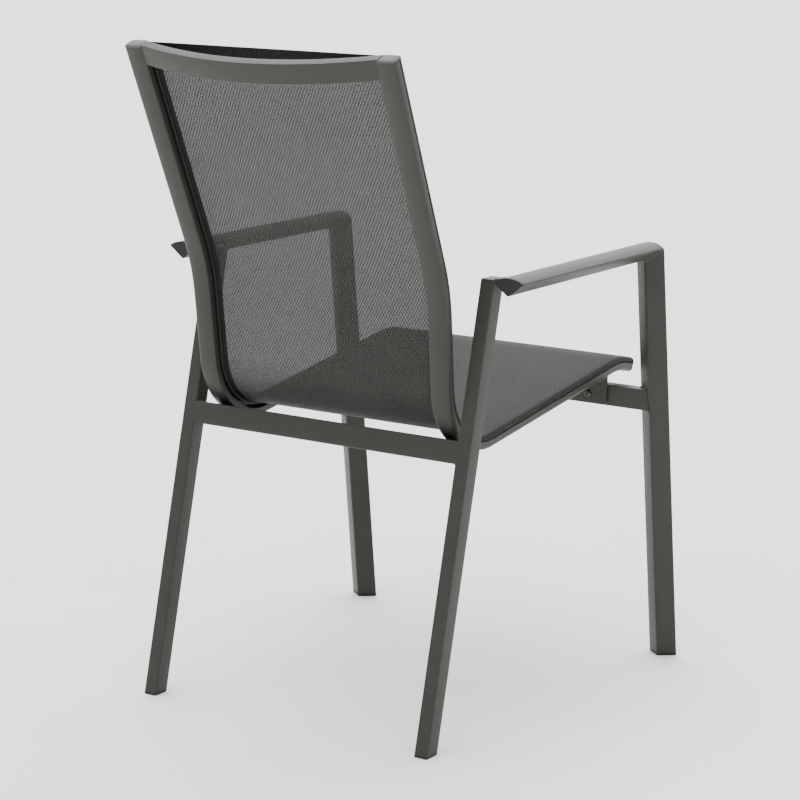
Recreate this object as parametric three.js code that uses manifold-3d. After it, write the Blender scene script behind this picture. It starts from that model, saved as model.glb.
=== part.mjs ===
// A sling patio chair that stacks: a welded aluminium frame with arms, and a seat and back made of
// one stretched sheet of woven mesh. Millimetres, +Z up. The sitter faces -Y, so the sitter's left
// is +X. The floor is Z = 0, and X = Y = 0 is the middle of the chair. Nothing on it moves.

import * as THREE from 'three';
import { mergeVertices } from 'three/addons/utils/BufferGeometryUtils.js';
import Module from 'manifold-3d';

const wasm = await Module();
wasm.setup();

// Driving dimensions: the extrusion of the arms and front legs, an arched top over a V underneath
const armWidth = 45;
const archRise = 6.5;
const keelDepth = 17.3;
const tipRadius = 1.5;
const keelRadius = 3;
const tubeWall = 1.8;

// Arms and front legs: the tips of the extrusion carry the measures
const armTipHeight = 594.5;
const armOverhang = 14;
const armLegGap = 6.8;
const frontLean = 0.1103;
const frontLegReach = 13.3;

// Rear legs: a rectangular tube that leans forward as it rises
const rearLegWidth = 20;
const rearLegDepth = 25;
const rearLegOuterX = 231;
const rearFootY = 251.3;
const rearLean = -0.2477;
const legCornerRadius = 2;

// Cross rails between the legs
const crossRailHeight = 29.5;
const crossRailDepth = 20;
const crossRailTop = 392.5;
const frontRailSetback = 5;

// Sling frame: its two side rails follow one bent line, measured on their back and underside,
// and stand a little further apart at the top of the back than at the heel of the seat
const slingOuterX = 198.1;
const slingTopOuterX = 208.6;
const slingWidth = 27.5;
const slingDepth = 19.5;
const heelAhead = 2.8;
const heelDrop = 44.7;
const upperBackAngle = THREE.MathUtils.degToRad(22.3);
const lowerBackAngle = THREE.MathUtils.degToRad(5.7);
const seatPitch = THREE.MathUtils.degToRad(8.15);
const noseTurn = THREE.MathUtils.degToRad(28);
const upperBackLength = 322.5;
const lowerBackLength = 234.7;
const seatLength = 417.5;
const lumbarRadius = 250;
const heelRadius = 100;
const noseRadius = 110;

// Section of a side rail: a back that bulges a little, a fabric groove in its outer side and an open
// channel in its inner side
const railArch = 2;
const railInnerRadius = 2.5;
const railOuterRadius = 5;
const railFrontRadius = 4.5;
const grooveMiddle = 12.6;
const grooveWidth = 1.6;
const grooveDepth = 3.2;
const pocketSize = 4.2;
const fabricStep = 1.4;
const channelMiddle = 9.8;
const channelMouth = 6;
const channelHeight = 11.5;
const channelDepth = 11;
const channelLip = 2;

// Crossbar at the top of the back
const crossbarHeight = 27;
const crossbarThickness = 14;
const crossbarBow = 28.6;
const crossbarWall = 1.5;

// Sheet of the sling and the cord that locks its edges
const fabricThickness = 1;
const fabricInset = 3;
const splineRadius = 2;

// Plugs and caps
const footFlange = 3;
const capFlange = 3;
const legCapFlange = 2.5;
const frontCapFlange = 4;
const spigotLength = 14;
const railSpigotLength = 8;

// Brackets and bolts
const bracketThickness = 3;
const bracketInnerX = 154;
const bracketWidth = 39;
const bracketDrop = 24;
const flangeReach = 27;
const rearFlangeMargin = 8;
const rearBoltDrop = 10.8;
const rearContactAngle = THREE.MathUtils.degToRad(60);
const bracketBoltX = 163;
const railBoltX = slingOuterX - slingWidth / 2;
const boltHeadRadius = 5.5;
const boltHeadHeight = 3;
const boltRadius = 2.9;
const boltHoleRadius = 3.2;
const boltLength = 8;
const socketRadius = 2.2;
const socketDepth = 1.6;
const boltDomeShares = [[1, 0.3], [0.93, 0.6], [0.75, 0.86], [0.5, 1]];

// Clearances between pieces that touch
const seatGap = 0.15;
const weldGap = 0.3;
const mergeDistance = 1e-4;

// How finely round forms are cut
const arcSteps = 4;
const archSteps = 8;
const railArchSteps = 6;
const lumbarSteps = 5;
const heelSteps = 16;
const noseSteps = 8;
const crossbarSteps = 16;
const roundSides = 16;

// Values that follow from the ones above: the corner that the heel rounds lies by the rear rail's top
// edge, the front rail stands behind the start of the nose, the front legs reach ahead of it, and the
// arms end behind and outside the rear legs
const rearRailBackY = rearFootY + rearLean * crossRailTop;
const heelCorner = new THREE.Vector2(rearRailBackY - heelAhead, crossRailTop - heelDrop);
const noseStartY = heelCorner.x - seatLength * Math.cos(seatPitch);
const frontRailBackY = noseStartY + frontRailSetback;
const frontFootY = frontRailBackY - frontLegReach - frontLean * crossRailTop;
const rearLegTop = armTipHeight;
const armInnerX = rearLegOuterX + armLegGap;
const armRearEnd = rearFootY + rearLean * armTipHeight + armOverhang;
const slingInnerX = slingOuterX - slingWidth;
const frontLegAngle = Math.atan(frontLean);
const mitreSlope = Math.tan(Math.PI / 4 - frontLegAngle / 2);
const mitreY = frontFootY + frontLean * armTipHeight;
const rearLegAngle = Math.atan(-rearLean);

const paint = new THREE.MeshStandardMaterial({ color: 0x5c5a56, roughness: 0.55, metalness: 0.35 });
const endPlastic = new THREE.MeshStandardMaterial({ color: 0x3a3b38, roughness: 0.7, metalness: 0 });
const footPlastic = new THREE.MeshStandardMaterial({ color: 0x2b2b2a, roughness: 0.75, metalness: 0 });
const mesh = new THREE.MeshStandardMaterial({ color: 0x4a4b49, roughness: 0.8, metalness: 0 });
const splinePlastic = new THREE.MeshStandardMaterial({ color: 0x1c1c1c, roughness: 0.8, metalness: 0 });
const boltSteel = new THREE.MeshStandardMaterial({ color: 0x6f6e6a, roughness: 0.4, metalness: 0.8 });

const chair = new THREE.Group();

// Sections: each is a list of corners [x, y, radius] that runs anticlockwise

function roundedOutline(corners) {
  const points = [];
  corners.forEach(([x, y, radius = 0], i) => {
    const corner = new THREE.Vector2(x, y);
    if (!radius) {
      points.push(corner);
      return;
    }
    const [bx, by] = corners[(i + corners.length - 1) % corners.length];
    const [ax, ay] = corners[(i + 1) % corners.length];
    const back = new THREE.Vector2(bx, by).sub(corner).normalize();
    const ahead = new THREE.Vector2(ax, ay).sub(corner).normalize();
    const half = Math.acos(back.dot(ahead)) / 2;
    const middle = back.clone().add(ahead).setLength(radius / Math.sin(half)).add(corner);
    const from = back.clone().multiplyScalar(radius / Math.tan(half)).add(corner).sub(middle);
    const turn = Math.sign(ahead.cross(back)) * (Math.PI - 2 * half);
    for (let k = 0; k <= arcSteps; k += 1) {
      const spoke = from.clone().rotateAround(new THREE.Vector2(), (turn * k) / arcSteps);
      points.push(spoke.add(middle));
    }
  });
  return points;
}

function rectangle(x0, y0, x1, y1, radius) {
  return [[x0, y0, radius], [x1, y0, radius], [x1, y1, radius], [x0, y1, radius]];
}

function inset(corners, distance) {
  // Moves every edge of a convex section inward, or outward where the distance is negative.
  const points = corners.map(([x, y]) => new THREE.Vector2(x, y));
  return points.map((point, i) => {
    const before = points[(i + points.length - 1) % points.length];
    const after = points[(i + 1) % points.length];
    const first = point.clone().sub(before).normalize();
    const second = after.clone().sub(point).normalize();
    const normal = new THREE.Vector2(-first.y - second.y, first.x + second.x).normalize();
    const spread = new THREE.Vector2(-first.y, first.x).dot(normal);
    const { x, y } = normal.multiplyScalar(distance / spread).add(point);
    return [x, y, Math.max(corners[i][2] - distance, 0)];
  });
}

function armSection() {
  // The arm's section seen along it: x from the inner tip to the outer tip, y up from the tips.
  const half = armWidth / 2;
  const archRadius = (half * half + archRise * archRise) / (2 * archRise);
  const archAngle = Math.asin(half / archRadius);
  const arch = [];
  for (let k = 1; k < archSteps; k += 1) {
    const angle = archAngle * (1 - (2 * k) / archSteps);
    const rise = archRise - archRadius * (1 - Math.cos(angle));
    arch.push([half + archRadius * Math.sin(angle), rise, 0]);
  }
  return [[0, 0, tipRadius], [half, -keelDepth, keelRadius], [armWidth, 0, tipRadius], ...arch];
}

function railBack() {
  // The bulging back of the side rail's section, from its inner side to its outer side.
  const bulge = [];
  for (let k = 1; k < railArchSteps; k += 1) {
    const share = (2 * k) / railArchSteps - 1;
    bulge.push([(slingWidth * k) / railArchSteps, railArch * share * share, 0]);
  }
  return [[0, railArch, railInnerRadius], ...bulge, [slingWidth, railArch, railOuterRadius]];
}

function railSection() {
  // The side rail's section: x from its inner side outward, y from its back to its front.
  const slotBack = grooveMiddle - grooveWidth / 2;
  const slotFront = grooveMiddle + grooveWidth / 2;
  const pocketOuter = slingWidth - grooveDepth;
  const pocketInner = pocketOuter - pocketSize;
  const pocketBack = grooveMiddle - pocketSize / 2;
  const pocketFront = grooveMiddle + pocketSize / 2;
  const mouthBack = channelMiddle - channelMouth / 2;
  const mouthFront = channelMiddle + channelMouth / 2;
  const channelBack = channelMiddle - channelHeight / 2;
  const channelFront = channelMiddle + channelHeight / 2;
  return [
    ...railBack(),
    [slingWidth, slotBack, 0],
    [pocketOuter, slotBack, 0],
    [pocketOuter, pocketBack, 0],
    [pocketInner, pocketBack, 0],
    [pocketInner, pocketFront, 0],
    [pocketOuter, pocketFront, 0],
    [pocketOuter, slotFront, 0],
    [slingWidth - fabricStep, slotFront, 0],
    [slingWidth - fabricStep, slingDepth, railFrontRadius],
    [0, slingDepth, railFrontRadius / 2],
    [0, mouthFront, 0],
    [channelLip, mouthFront, 0],
    [channelLip, channelFront, 0],
    [channelDepth + channelLip, channelFront, 0],
    [channelDepth + channelLip, channelBack, 0],
    [channelLip, channelBack, 0],
    [channelLip, mouthBack, 0],
    [0, mouthBack, 0],
  ].map(([x, y, radius]) => [slingInnerX + x, y, radius]);
}

function fabricSection() {
  // The sheet lies flat across the rails, turns down over their fronts and into their grooves.
  const inner = slingDepth + seatGap;
  const outer = inner + fabricThickness;
  const edge = slingOuterX - fabricStep + seatGap;
  const tuckBack = grooveMiddle - fabricThickness / 2;
  const tuckFront = grooveMiddle + fabricThickness / 2;
  const tuckEnd = slingOuterX - fabricInset;
  const innerRadius = railFrontRadius + seatGap;
  const outerRadius = innerRadius + fabricThickness;
  return [
    [edge, inner, innerRadius],
    [-edge, inner, innerRadius],
    [-edge, tuckFront, 0],
    [-tuckEnd, tuckFront, 0],
    [-tuckEnd, tuckBack, 0],
    [-edge - fabricThickness, tuckBack, 0],
    [-edge - fabricThickness, outer, outerRadius],
    [edge + fabricThickness, outer, outerRadius],
    [edge + fabricThickness, tuckBack, 0],
    [tuckEnd, tuckBack, 0],
    [tuckEnd, tuckFront, 0],
    [edge, tuckFront, 0],
  ].reverse();
}

// Solids

function extrude(section, length, hole = null, steps = 1) {
  const shape = new THREE.Shape(roundedOutline(section));
  if (hole) {
    shape.holes.push(new THREE.Path(roundedOutline(hole)));
  }
  return new THREE.ExtrudeGeometry(shape, { depth: length, steps, bevelEnabled: false });
}

function weld(geometry) {
  const plain = geometry.clone();
  plain.deleteAttribute('normal');
  plain.deleteAttribute('uv');
  return mergeVertices(plain, mergeDistance);
}

function toSolid(geometry) {
  const merged = weld(geometry);
  const vertProperties = new Float32Array(merged.attributes.position.array);
  const triVerts = new Uint32Array(merged.index.array);
  return new wasm.Manifold(new wasm.Mesh({ numProp: 3, vertProperties, triVerts }));
}

function toGeometry(solid) {
  const { vertProperties, triVerts } = solid.getMesh();
  const geometry = new THREE.BufferGeometry();
  geometry.setAttribute('position', new THREE.BufferAttribute(vertProperties, 3));
  geometry.setIndex(new THREE.BufferAttribute(triVerts, 1));
  return geometry;
}

function cut(geometry, tools) {
  return toGeometry(tools.reduce((solid, tool) => solid.subtract(toSolid(tool)), toSolid(geometry)));
}

function join(first, second) {
  return toGeometry(toSolid(first).add(toSolid(second)));
}

function signedVolume(geometry) {
  const { position } = geometry.attributes;
  const { index } = geometry;
  const corners = [new THREE.Vector3(), new THREE.Vector3(), new THREE.Vector3()];
  let volume = 0;
  for (let i = 0; i < index.count; i += 3) {
    corners.forEach((corner, k) => corner.fromBufferAttribute(position, index.getX(i + k)));
    volume += corners[0].dot(corners[1].cross(corners[2]));
  }
  return volume;
}

function reshape(geometry, move) {
  // Moves every vertex, and turns the faces over where the move has mirrored the solid.
  const moved = weld(geometry);
  const { position } = moved.attributes;
  const vertex = new THREE.Vector3();
  for (let i = 0; i < position.count; i += 1) {
    const { x, y, z } = move(vertex.fromBufferAttribute(position, i));
    position.setXYZ(i, x, y, z);
  }
  if (signedVolume(moved) < 0) {
    moved.index.array.reverse();
  }
  return moved;
}

function plug(flangeSection, flangeHeight, spigotSection, spigotHeight) {
  // A flange below Z = flangeHeight and a spigot that stands on it.
  const spigot = extrude(spigotSection, spigotHeight + flangeHeight / 2);
  spigot.translate(0, 0, flangeHeight / 2);
  return join(extrude(flangeSection, flangeHeight), spigot);
}

function addPiece(name, material, geometry) {
  const flat = geometry.toNonIndexed();
  flat.computeVertexNormals();
  const piece = new THREE.Mesh(flat, material);
  piece.name = name;
  chair.add(piece);
}

function addPair(name, material, geometry) {
  // The geometry is the sitter's left one, at +X, and the right one is its mirror image.
  addPiece(`${name}_left`, material, geometry);
  addPiece(`${name}_right`, material, reshape(geometry, ({ x, y, z }) => ({ x: -x, y, z })));
}

// The bent line of the sling frame

function heading(angle) {
  return new THREE.Vector2(-Math.sin(angle), -Math.cos(angle));
}

function towardSitter(angle) {
  return new THREE.Vector2(-Math.cos(angle), Math.sin(angle));
}

function slingLine(topTrim, frontTrim) {
  // Stations from the top of the back to the nose of the seat, each a point, and a heading angle.
  const seatAngle = Math.PI / 2 + seatPitch;
  const lumbarTangent = lumbarRadius * Math.tan((upperBackAngle - lowerBackAngle) / 2);
  const heelTangent = heelRadius * Math.tan((seatAngle - lowerBackAngle) / 2);
  const lumbarCorner = heelCorner.clone().sub(heading(lowerBackAngle).multiplyScalar(lowerBackLength));
  const point = lumbarCorner.sub(heading(upperBackAngle).multiplyScalar(upperBackLength));
  const stations = [];
  let angle = upperBackAngle;

  const straight = (length) => {
    point.add(heading(angle).multiplyScalar(length));
    stations.push({ point: point.clone(), angle });
  };
  const bend = (endAngle, radius, steps) => {
    const side = Math.sign(endAngle - angle);
    const middle = point.clone().add(towardSitter(angle).multiplyScalar(side * radius));
    const startAngle = angle;
    for (let k = 1; k <= steps; k += 1) {
      angle = THREE.MathUtils.lerp(startAngle, endAngle, k / steps);
      point.copy(middle).sub(towardSitter(angle).multiplyScalar(side * radius));
      stations.push({ point: point.clone(), angle });
    }
  };

  straight(topTrim);
  straight(upperBackLength - lumbarTangent - topTrim);
  bend(lowerBackAngle, lumbarRadius, lumbarSteps);
  straight(lowerBackLength - lumbarTangent - heelTangent);
  bend(seatAngle, heelRadius, heelSteps);
  straight(seatLength - heelTangent);
  bend(seatAngle - noseTurn + frontTrim / noseRadius, noseRadius, noseSteps);
  return stations;
}

function onLine(station, side, depth, along = 0) {
  // A point at a place across the chair and a depth from the rail's back toward the sitter.
  const flat = towardSitter(station.angle).multiplyScalar(depth).add(station.point);
  flat.add(heading(station.angle).multiplyScalar(along));
  const rise = (flat.y - heelCorner.y) / (topStation.point.y - heelCorner.y);
  const flare = 1 + (slingTopOuterX / slingOuterX - 1) * rise;
  return { x: side * flare, y: flat.x, z: flat.y };
}

function sweep(section, stations) {
  const steps = stations.length - 1;
  const straight = extrude(section, steps, null, steps);
  return reshape(straight, ({ x, y, z }) => onLine(stations[Math.round(z)], x, y));
}

const slingStations = slingLine(capFlange, frontCapFlange);
const topStation = slingLine(0, 0)[0];
const frontStation = slingLine(0, 0).at(-1);

function noseStation(back) {
  // The station on the nose's arc that lies a length behind the front end.
  const spoke = towardSitter(frontStation.angle).multiplyScalar(noseRadius);
  const middle = frontStation.point.clone().sub(spoke);
  const angle = frontStation.angle + back / noseRadius;
  return { point: middle.add(towardSitter(angle).multiplyScalar(noseRadius)), angle };
}

function undersideHeight(y) {
  // Height of the side rails' underside over a place below the straight part of the seat.
  return heelCorner.y + (heelCorner.x - y) * Math.tan(seatPitch);
}

// Bolts and their holes: both stand along +Z from the face that the head rests on

function boltGeometry() {
  const dome = boltDomeShares.map(
    ([across, up]) => new THREE.Vector2(boltHeadRadius * across, -boltHeadHeight * up),
  );
  const profile = [
    new THREE.Vector2(0, boltLength),
    new THREE.Vector2(boltRadius, boltLength),
    new THREE.Vector2(boltRadius, 0),
    new THREE.Vector2(boltHeadRadius, 0),
    ...dome,
    new THREE.Vector2(0, -boltHeadHeight),
  ].reverse();
  const body = new THREE.LatheGeometry(profile, roundSides).rotateX(Math.PI / 2);
  const socket = new THREE.CylinderGeometry(socketRadius, socketRadius, 2 * socketDepth, 6);
  socket.rotateX(Math.PI / 2).translate(0, 0, -boltHeadHeight);
  return cut(reshape(body, (vertex) => vertex), [socket]);
}

function boltHole() {
  const reach = 2 * (boltLength + weldGap);
  const hole = new THREE.CylinderGeometry(boltHoleRadius, boltHoleRadius, reach, roundSides);
  return hole.rotateX(Math.PI / 2);
}

function stand(geometry, x, flat, direction) {
  // Turns +Z to a direction in the side plane and moves the origin to a point there.
  const turn = new THREE.Quaternion().setFromUnitVectors(
    new THREE.Vector3(0, 0, 1),
    new THREE.Vector3(0, direction.x, direction.y),
  );
  const place = new THREE.Matrix4().makeRotationFromQuaternion(turn).setPosition(x, flat.x, flat.y);
  return geometry.clone().applyMatrix4(place);
}

// Arms, front legs and their ends

function layArm({ x, y, z }, rearY) {
  return { x: armInnerX + x, y: rearY - z, z: armTipHeight + y };
}

function standFrontLeg({ x, y, z }) {
  return { x: armInnerX + x, y: frontFootY + frontLean * z - y / Math.cos(frontLegAngle), z };
}

function makeArms() {
  const section = armSection();
  const hole = inset(section, tubeWall);
  const tubeRear = armRearEnd - capFlange - seatGap;
  const length = tubeRear - mitreY;
  const arm = reshape(extrude(section, length, hole), ({ x, y, z }) => layArm({
    x,
    y,
    z: z > 0 ? length + y * mitreSlope - weldGap / 2 : 0,
  }, tubeRear));
  addPair('arm', paint, arm);
  const cap = plug(section, capFlange, inset(section, tubeWall + seatGap), spigotLength);
  addPair('arm_end_cap', endPlastic, reshape(cap, (vertex) => layArm(vertex, armRearEnd)));
}

function makeFrontLegs() {
  const section = armSection();
  const hole = inset(section, tubeWall);
  const foot = footFlange + seatGap;
  const topRun = armTipHeight - foot;
  // The top follows the same mitre plane, which a leaning leg meets at its own slope.
  const legMitre = 1 / (Math.cos(frontLegAngle) * (frontLean + mitreSlope));
  const leg = reshape(extrude(section, topRun, hole), ({ x, y, z }) => standFrontLeg({
    x,
    y,
    z: z > 0 ? armTipHeight + y * legMitre - weldGap / 2 : foot,
  }));
  addPair('front_leg', paint, leg);
  const plugShape = plug(section, footFlange, inset(section, tubeWall + seatGap), spigotLength);
  addPair('front_foot_plug', footPlastic, reshape(plugShape, standFrontLeg));
}

// Rear legs, their caps and plugs, and the strips that join them to the arms

function leanBack({ x, y, z }) {
  return { x: rearLegOuterX - rearLegWidth + x, y: rearFootY - rearLegDepth + y + rearLean * z, z };
}

function makeRearLegs() {
  const section = rectangle(0, 0, rearLegWidth, rearLegDepth, legCornerRadius);
  const spigot = inset(section, tubeWall + seatGap);
  const foot = footFlange + seatGap;
  const tubeTop = rearLegTop - legCapFlange - seatGap;
  const leg = extrude(section, tubeTop - foot, inset(section, tubeWall)).translate(0, 0, foot);
  addPair('rear_leg', paint, reshape(leg, leanBack));
  const footPlug = plug(section, footFlange, spigot, spigotLength);
  addPair('rear_foot_plug', footPlastic, reshape(footPlug, leanBack));
  const cap = plug(section, legCapFlange, spigot, spigotLength);
  const capAtTop = reshape(cap, ({ x, y, z }) => leanBack({ x, y, z: rearLegTop - z }));
  addPair('rear_leg_top_cap', paint, capAtTop);
}

function makeArmJoints() {
  // A short welded strip fills the gap between the rear leg's outer face and the arm's inner tip.
  const legSide = rearLegOuterX + seatGap;
  const armTipInset = Math.min(...roundedOutline(armSection()).map(({ x }) => x));
  const armSide = armInnerX + armTipInset - seatGap;
  const stripTopAtArm = armTipHeight + tipRadius;
  const stripBottomAtArm = armTipHeight - tipRadius;
  const stripBottomAtLeg = stripBottomAtArm - (armSide - legSide) / 2;
  const section = [
    [legSide, stripBottomAtLeg],
    [armSide, stripBottomAtArm],
    [armSide, stripTopAtArm],
    [legSide, rearLegTop],
  ];
  const length = rearLegDepth - 2 * legCornerRadius;
  const backY = rearFootY + rearLean * armTipHeight - legCornerRadius;
  const strip = extrude(section, length);
  addPair('arm_joint', paint, reshape(strip, ({ x, y, z }) => ({ x, y: backY - z, z: y })));
}

// Cross rails

function makeRearCrossRail(holes) {
  // The tube lies between the rear legs and leans as they do, its back flush with theirs.
  const halfLength = rearLegOuterX - rearLegWidth - seatGap;
  const section = rectangle(-crossRailDepth, -crossRailHeight, 0, 0, legCornerRadius);
  const tube = extrude(section, 2 * halfLength, inset(section, tubeWall));
  tube.rotateZ(rearLegAngle);
  const placed = reshape(tube, ({ x, y, z }) => ({
    x: z - halfLength,
    y: rearRailBackY + x,
    z: crossRailTop + y,
  }));
  addPiece('rear_cross_rail', paint, cut(placed, holes));
}

function makeFrontCrossRail(holes) {
  // The tube ends against the inner sides of the front legs, cut to their shape.
  const section = rectangle(-crossRailDepth, -crossRailHeight, 0, 0, legCornerRadius);
  const halfLength = armInnerX + armWidth / 2;
  const tube = extrude(section, 2 * halfLength, inset(section, tubeWall));
  const placed = reshape(tube, ({ x, y, z }) => ({
    x: z - halfLength,
    y: frontRailBackY + x,
    z: crossRailTop + y,
  }));
  const reach = crossRailTop + crossRailHeight;
  const grown = reshape(extrude(inset(armSection(), -weldGap), reach), standFrontLeg);
  const ahead = new THREE.BoxGeometry(armWidth, armWidth, 2 * reach);
  const legTipY = frontFootY + frontLean * (crossRailTop - crossRailHeight);
  ahead.translate(armInnerX + armWidth / 2, legTipY - armWidth / 2 + tipRadius, 0);
  const mirror = ({ x, y, z }) => ({ x: -x, y, z });
  const tools = [grown, reshape(grown, mirror), ahead, reshape(ahead, mirror)];
  addPiece('front_cross_rail', paint, cut(placed, [...tools, ...holes]));
}

// Sling frame

function makeSlingRails(holes) {
  addPair('sling_rail', paint, cut(sweep(railSection(), slingStations), holes));
}

function capSections() {
  const front = slingDepth + seatGap + fabricThickness;
  const outer = [
    ...railBack(),
    [slingWidth, front, railFrontRadius],
    [0, front, railFrontRadius],
  ].map(([x, y, radius]) => [slingInnerX + x, y, radius]);
  const spigotBack = channelMiddle - channelHeight / 2 + seatGap;
  const spigotFront = channelMiddle + channelHeight / 2 - seatGap;
  const spigotInner = slingInnerX + channelLip + seatGap;
  const spigotOuter = slingInnerX + channelLip + channelDepth - seatGap;
  return { outer, spigot: rectangle(spigotInner, spigotBack, spigotOuter, spigotFront, 0) };
}

function makeRailCaps() {
  const { outer, spigot } = capSections();
  const topCap = plug(outer, capFlange - seatGap, spigot, railSpigotLength);
  addPair('rail_top_cap', paint, reshape(topCap, ({ x, y, z }) => onLine(topStation, x, y, z)));
  const frontCap = plug(outer, frontCapFlange - seatGap, spigot, railSpigotLength);
  addPair('rail_front_cap', endPlastic, reshape(frontCap, ({ x, y, z }) => onLine(noseStation(z), x, y)));
}

function makeCrossbar() {
  // A flat tube between the rails' tops, flush with their inner edges at its ends and bowed backward.
  const section = rectangle(0, 0, crossbarHeight, crossbarThickness, legCornerRadius);
  const halfLength = slingInnerX - seatGap;
  const tube = extrude(section, 2 * halfLength, inset(section, crossbarWall), crossbarSteps);
  addPiece('top_crossbar', paint, reshape(tube, ({ x, y, z }) => {
    const side = z - halfLength;
    const share = side / halfLength;
    return onLine(topStation, side, y + railArch - crossbarBow * (1 - share * share), x);
  }));
}

function makeSling() {
  addPiece('sling_fabric', mesh, sweep(fabricSection(), slingStations));
  const middleX = slingOuterX - grooveDepth - pocketSize / 2;
  const circle = new THREE.EllipseCurve(middleX, grooveMiddle, splineRadius, splineRadius);
  const section = circle.getPoints(2 * arcSteps).slice(1).map(({ x, y }) => [x, y]);
  addPair('spline', splinePlastic, sweep(section, slingStations));
}

// Brackets that hold the sling frame on the cross rails, and their bolts

function bracketPlates() {
  // Each bracket is an outline in the side plane, with a point and a direction for each of its bolts.
  const up = new THREE.Vector2(0, 1);
  const seatNormal = towardSitter(Math.PI / 2 + seatPitch);
  const backFace = frontRailBackY + seatGap;
  const plateFace = backFace + bracketThickness;
  const flangeEnd = backFace + flangeReach;
  const rail = (y, drop) => new THREE.Vector2(y, undersideHeight(y) - seatGap - drop);
  const lowEnd = crossRailTop - bracketDrop;
  const front = {
    outline: [
      new THREE.Vector2(backFace, lowEnd),
      new THREE.Vector2(plateFace, lowEnd),
      rail(plateFace, bracketThickness),
      rail(flangeEnd, bracketThickness),
      rail(flangeEnd, 0),
      rail(backFace, 0),
    ],
    plateBolt: {
      flat: new THREE.Vector2(plateFace, crossRailTop - crossRailHeight / 2),
      to: new THREE.Vector2(-1, 0),
    },
    railBolt: { flat: rail((plateFace + flangeEnd) / 2, bracketThickness), to: seatNormal },
  };

  const legUp = up.clone().rotateAround(new THREE.Vector2(), rearLegAngle);
  const ahead = new THREE.Vector2(-legUp.y, legUp.x);
  const backTop = new THREE.Vector2(rearRailBackY, crossRailTop);
  const railFace = backTop.add(ahead.clone().multiplyScalar(crossRailDepth + seatGap));
  const heelMiddle = heelCentre();
  const contact = heelMiddle.sub(towardSitter(rearContactAngle).multiplyScalar(heelRadius + seatGap));
  const forward = heading(rearContactAngle);
  const inward = towardSitter(rearContactAngle);
  const along = (start, direction, length) => start.clone().add(direction.clone().multiplyScalar(length));
  const meet = crossing(contact, forward, railFace, legUp);
  const innerStart = along(contact, inward, -bracketThickness);
  const innerFace = along(railFace, ahead, bracketThickness);
  const innerMeet = crossing(innerStart, forward, innerFace, legUp);
  const flangeTip = along(contact, forward, rearFlangeMargin);
  const rear = {
    outline: [
      meet,
      flangeTip,
      along(flangeTip, inward, -bracketThickness),
      innerMeet,
      along(along(railFace, legUp, -bracketDrop), ahead, bracketThickness),
      along(railFace, legUp, -bracketDrop),
    ],
    plateBolt: { flat: along(innerMeet, legUp, -rearBoltDrop), to: ahead.clone().negate() },
    railBolt: { flat: innerStart, to: inward },
  };
  return { front, rear };
}

function crossing(first, firstWay, second, secondWay) {
  const span = second.clone().sub(first);
  const share = span.cross(secondWay) / firstWay.cross(secondWay);
  return first.clone().add(firstWay.clone().multiplyScalar(share));
}

function heelCentre() {
  const seatAngle = Math.PI / 2 + seatPitch;
  const tangent = heelRadius * Math.tan((seatAngle - lowerBackAngle) / 2);
  const start = heelCorner.clone().sub(heading(lowerBackAngle).multiplyScalar(tangent));
  return start.add(towardSitter(lowerBackAngle).multiplyScalar(heelRadius));
}

function makeBrackets() {
  const mirror = ({ x, y, z }) => ({ x: -x, y, z });
  const plates = bracketPlates();
  const plateHoles = { front: [], rear: [] };
  const railHoles = [];
  for (const end of ['front', 'rear']) {
    const { outline, plateBolt, railBolt } = plates[end];
    const bar = extrude(outline.map(({ x, y }) => [x, y]), bracketWidth);
    const placed = reshape(bar, ({ x, y, z }) => ({ x: bracketInnerX + z, y: x, z: y }));
    const plateHole = stand(boltHole(), bracketBoltX, plateBolt.flat, plateBolt.to);
    const railHole = stand(boltHole(), railBoltX, railBolt.flat, railBolt.to);
    addPair(`${end}_bracket`, paint, cut(placed, [plateHole, railHole]));
    const bolt = boltGeometry();
    addPair(`${end}_bracket_bolt`, boltSteel, stand(bolt, bracketBoltX, plateBolt.flat, plateBolt.to));
    addPair(`${end}_rail_bolt`, boltSteel, stand(bolt, railBoltX, railBolt.flat, railBolt.to));
    plateHoles[end].push(plateHole, reshape(plateHole, mirror));
    railHoles.push(railHole);
  }
  return { plateHoles, railHoles };
}

const { plateHoles, railHoles } = makeBrackets();
makeArms();
makeFrontLegs();
makeRearLegs();
makeArmJoints();
makeRearCrossRail(plateHoles.rear);
makeFrontCrossRail(plateHoles.front);
makeSlingRails(railHoles);
makeRailCaps();
makeCrossbar();
makeSling();

export default chair;
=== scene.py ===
"""Looks of the sling patio chair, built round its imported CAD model. Lengths here are in millimetres
and become metres where a mesh is made. The materials, the camera and the floor are in metres. The
sitter faces -Y, and the sitter's left is +X."""

import math

import bpy
from mathutils import Matrix, Vector


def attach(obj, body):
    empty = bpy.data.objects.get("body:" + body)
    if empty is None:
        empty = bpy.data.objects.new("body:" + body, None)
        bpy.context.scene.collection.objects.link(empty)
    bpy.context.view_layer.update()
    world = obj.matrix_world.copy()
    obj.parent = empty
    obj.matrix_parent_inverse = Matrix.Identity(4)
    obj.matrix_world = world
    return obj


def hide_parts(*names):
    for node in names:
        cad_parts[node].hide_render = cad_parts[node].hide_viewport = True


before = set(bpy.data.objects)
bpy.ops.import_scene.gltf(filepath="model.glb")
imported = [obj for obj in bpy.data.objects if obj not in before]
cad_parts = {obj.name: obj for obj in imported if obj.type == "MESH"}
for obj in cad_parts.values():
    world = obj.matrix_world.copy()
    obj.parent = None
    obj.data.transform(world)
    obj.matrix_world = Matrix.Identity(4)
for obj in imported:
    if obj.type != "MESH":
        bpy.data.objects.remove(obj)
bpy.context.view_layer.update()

MM = 0.001

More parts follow.
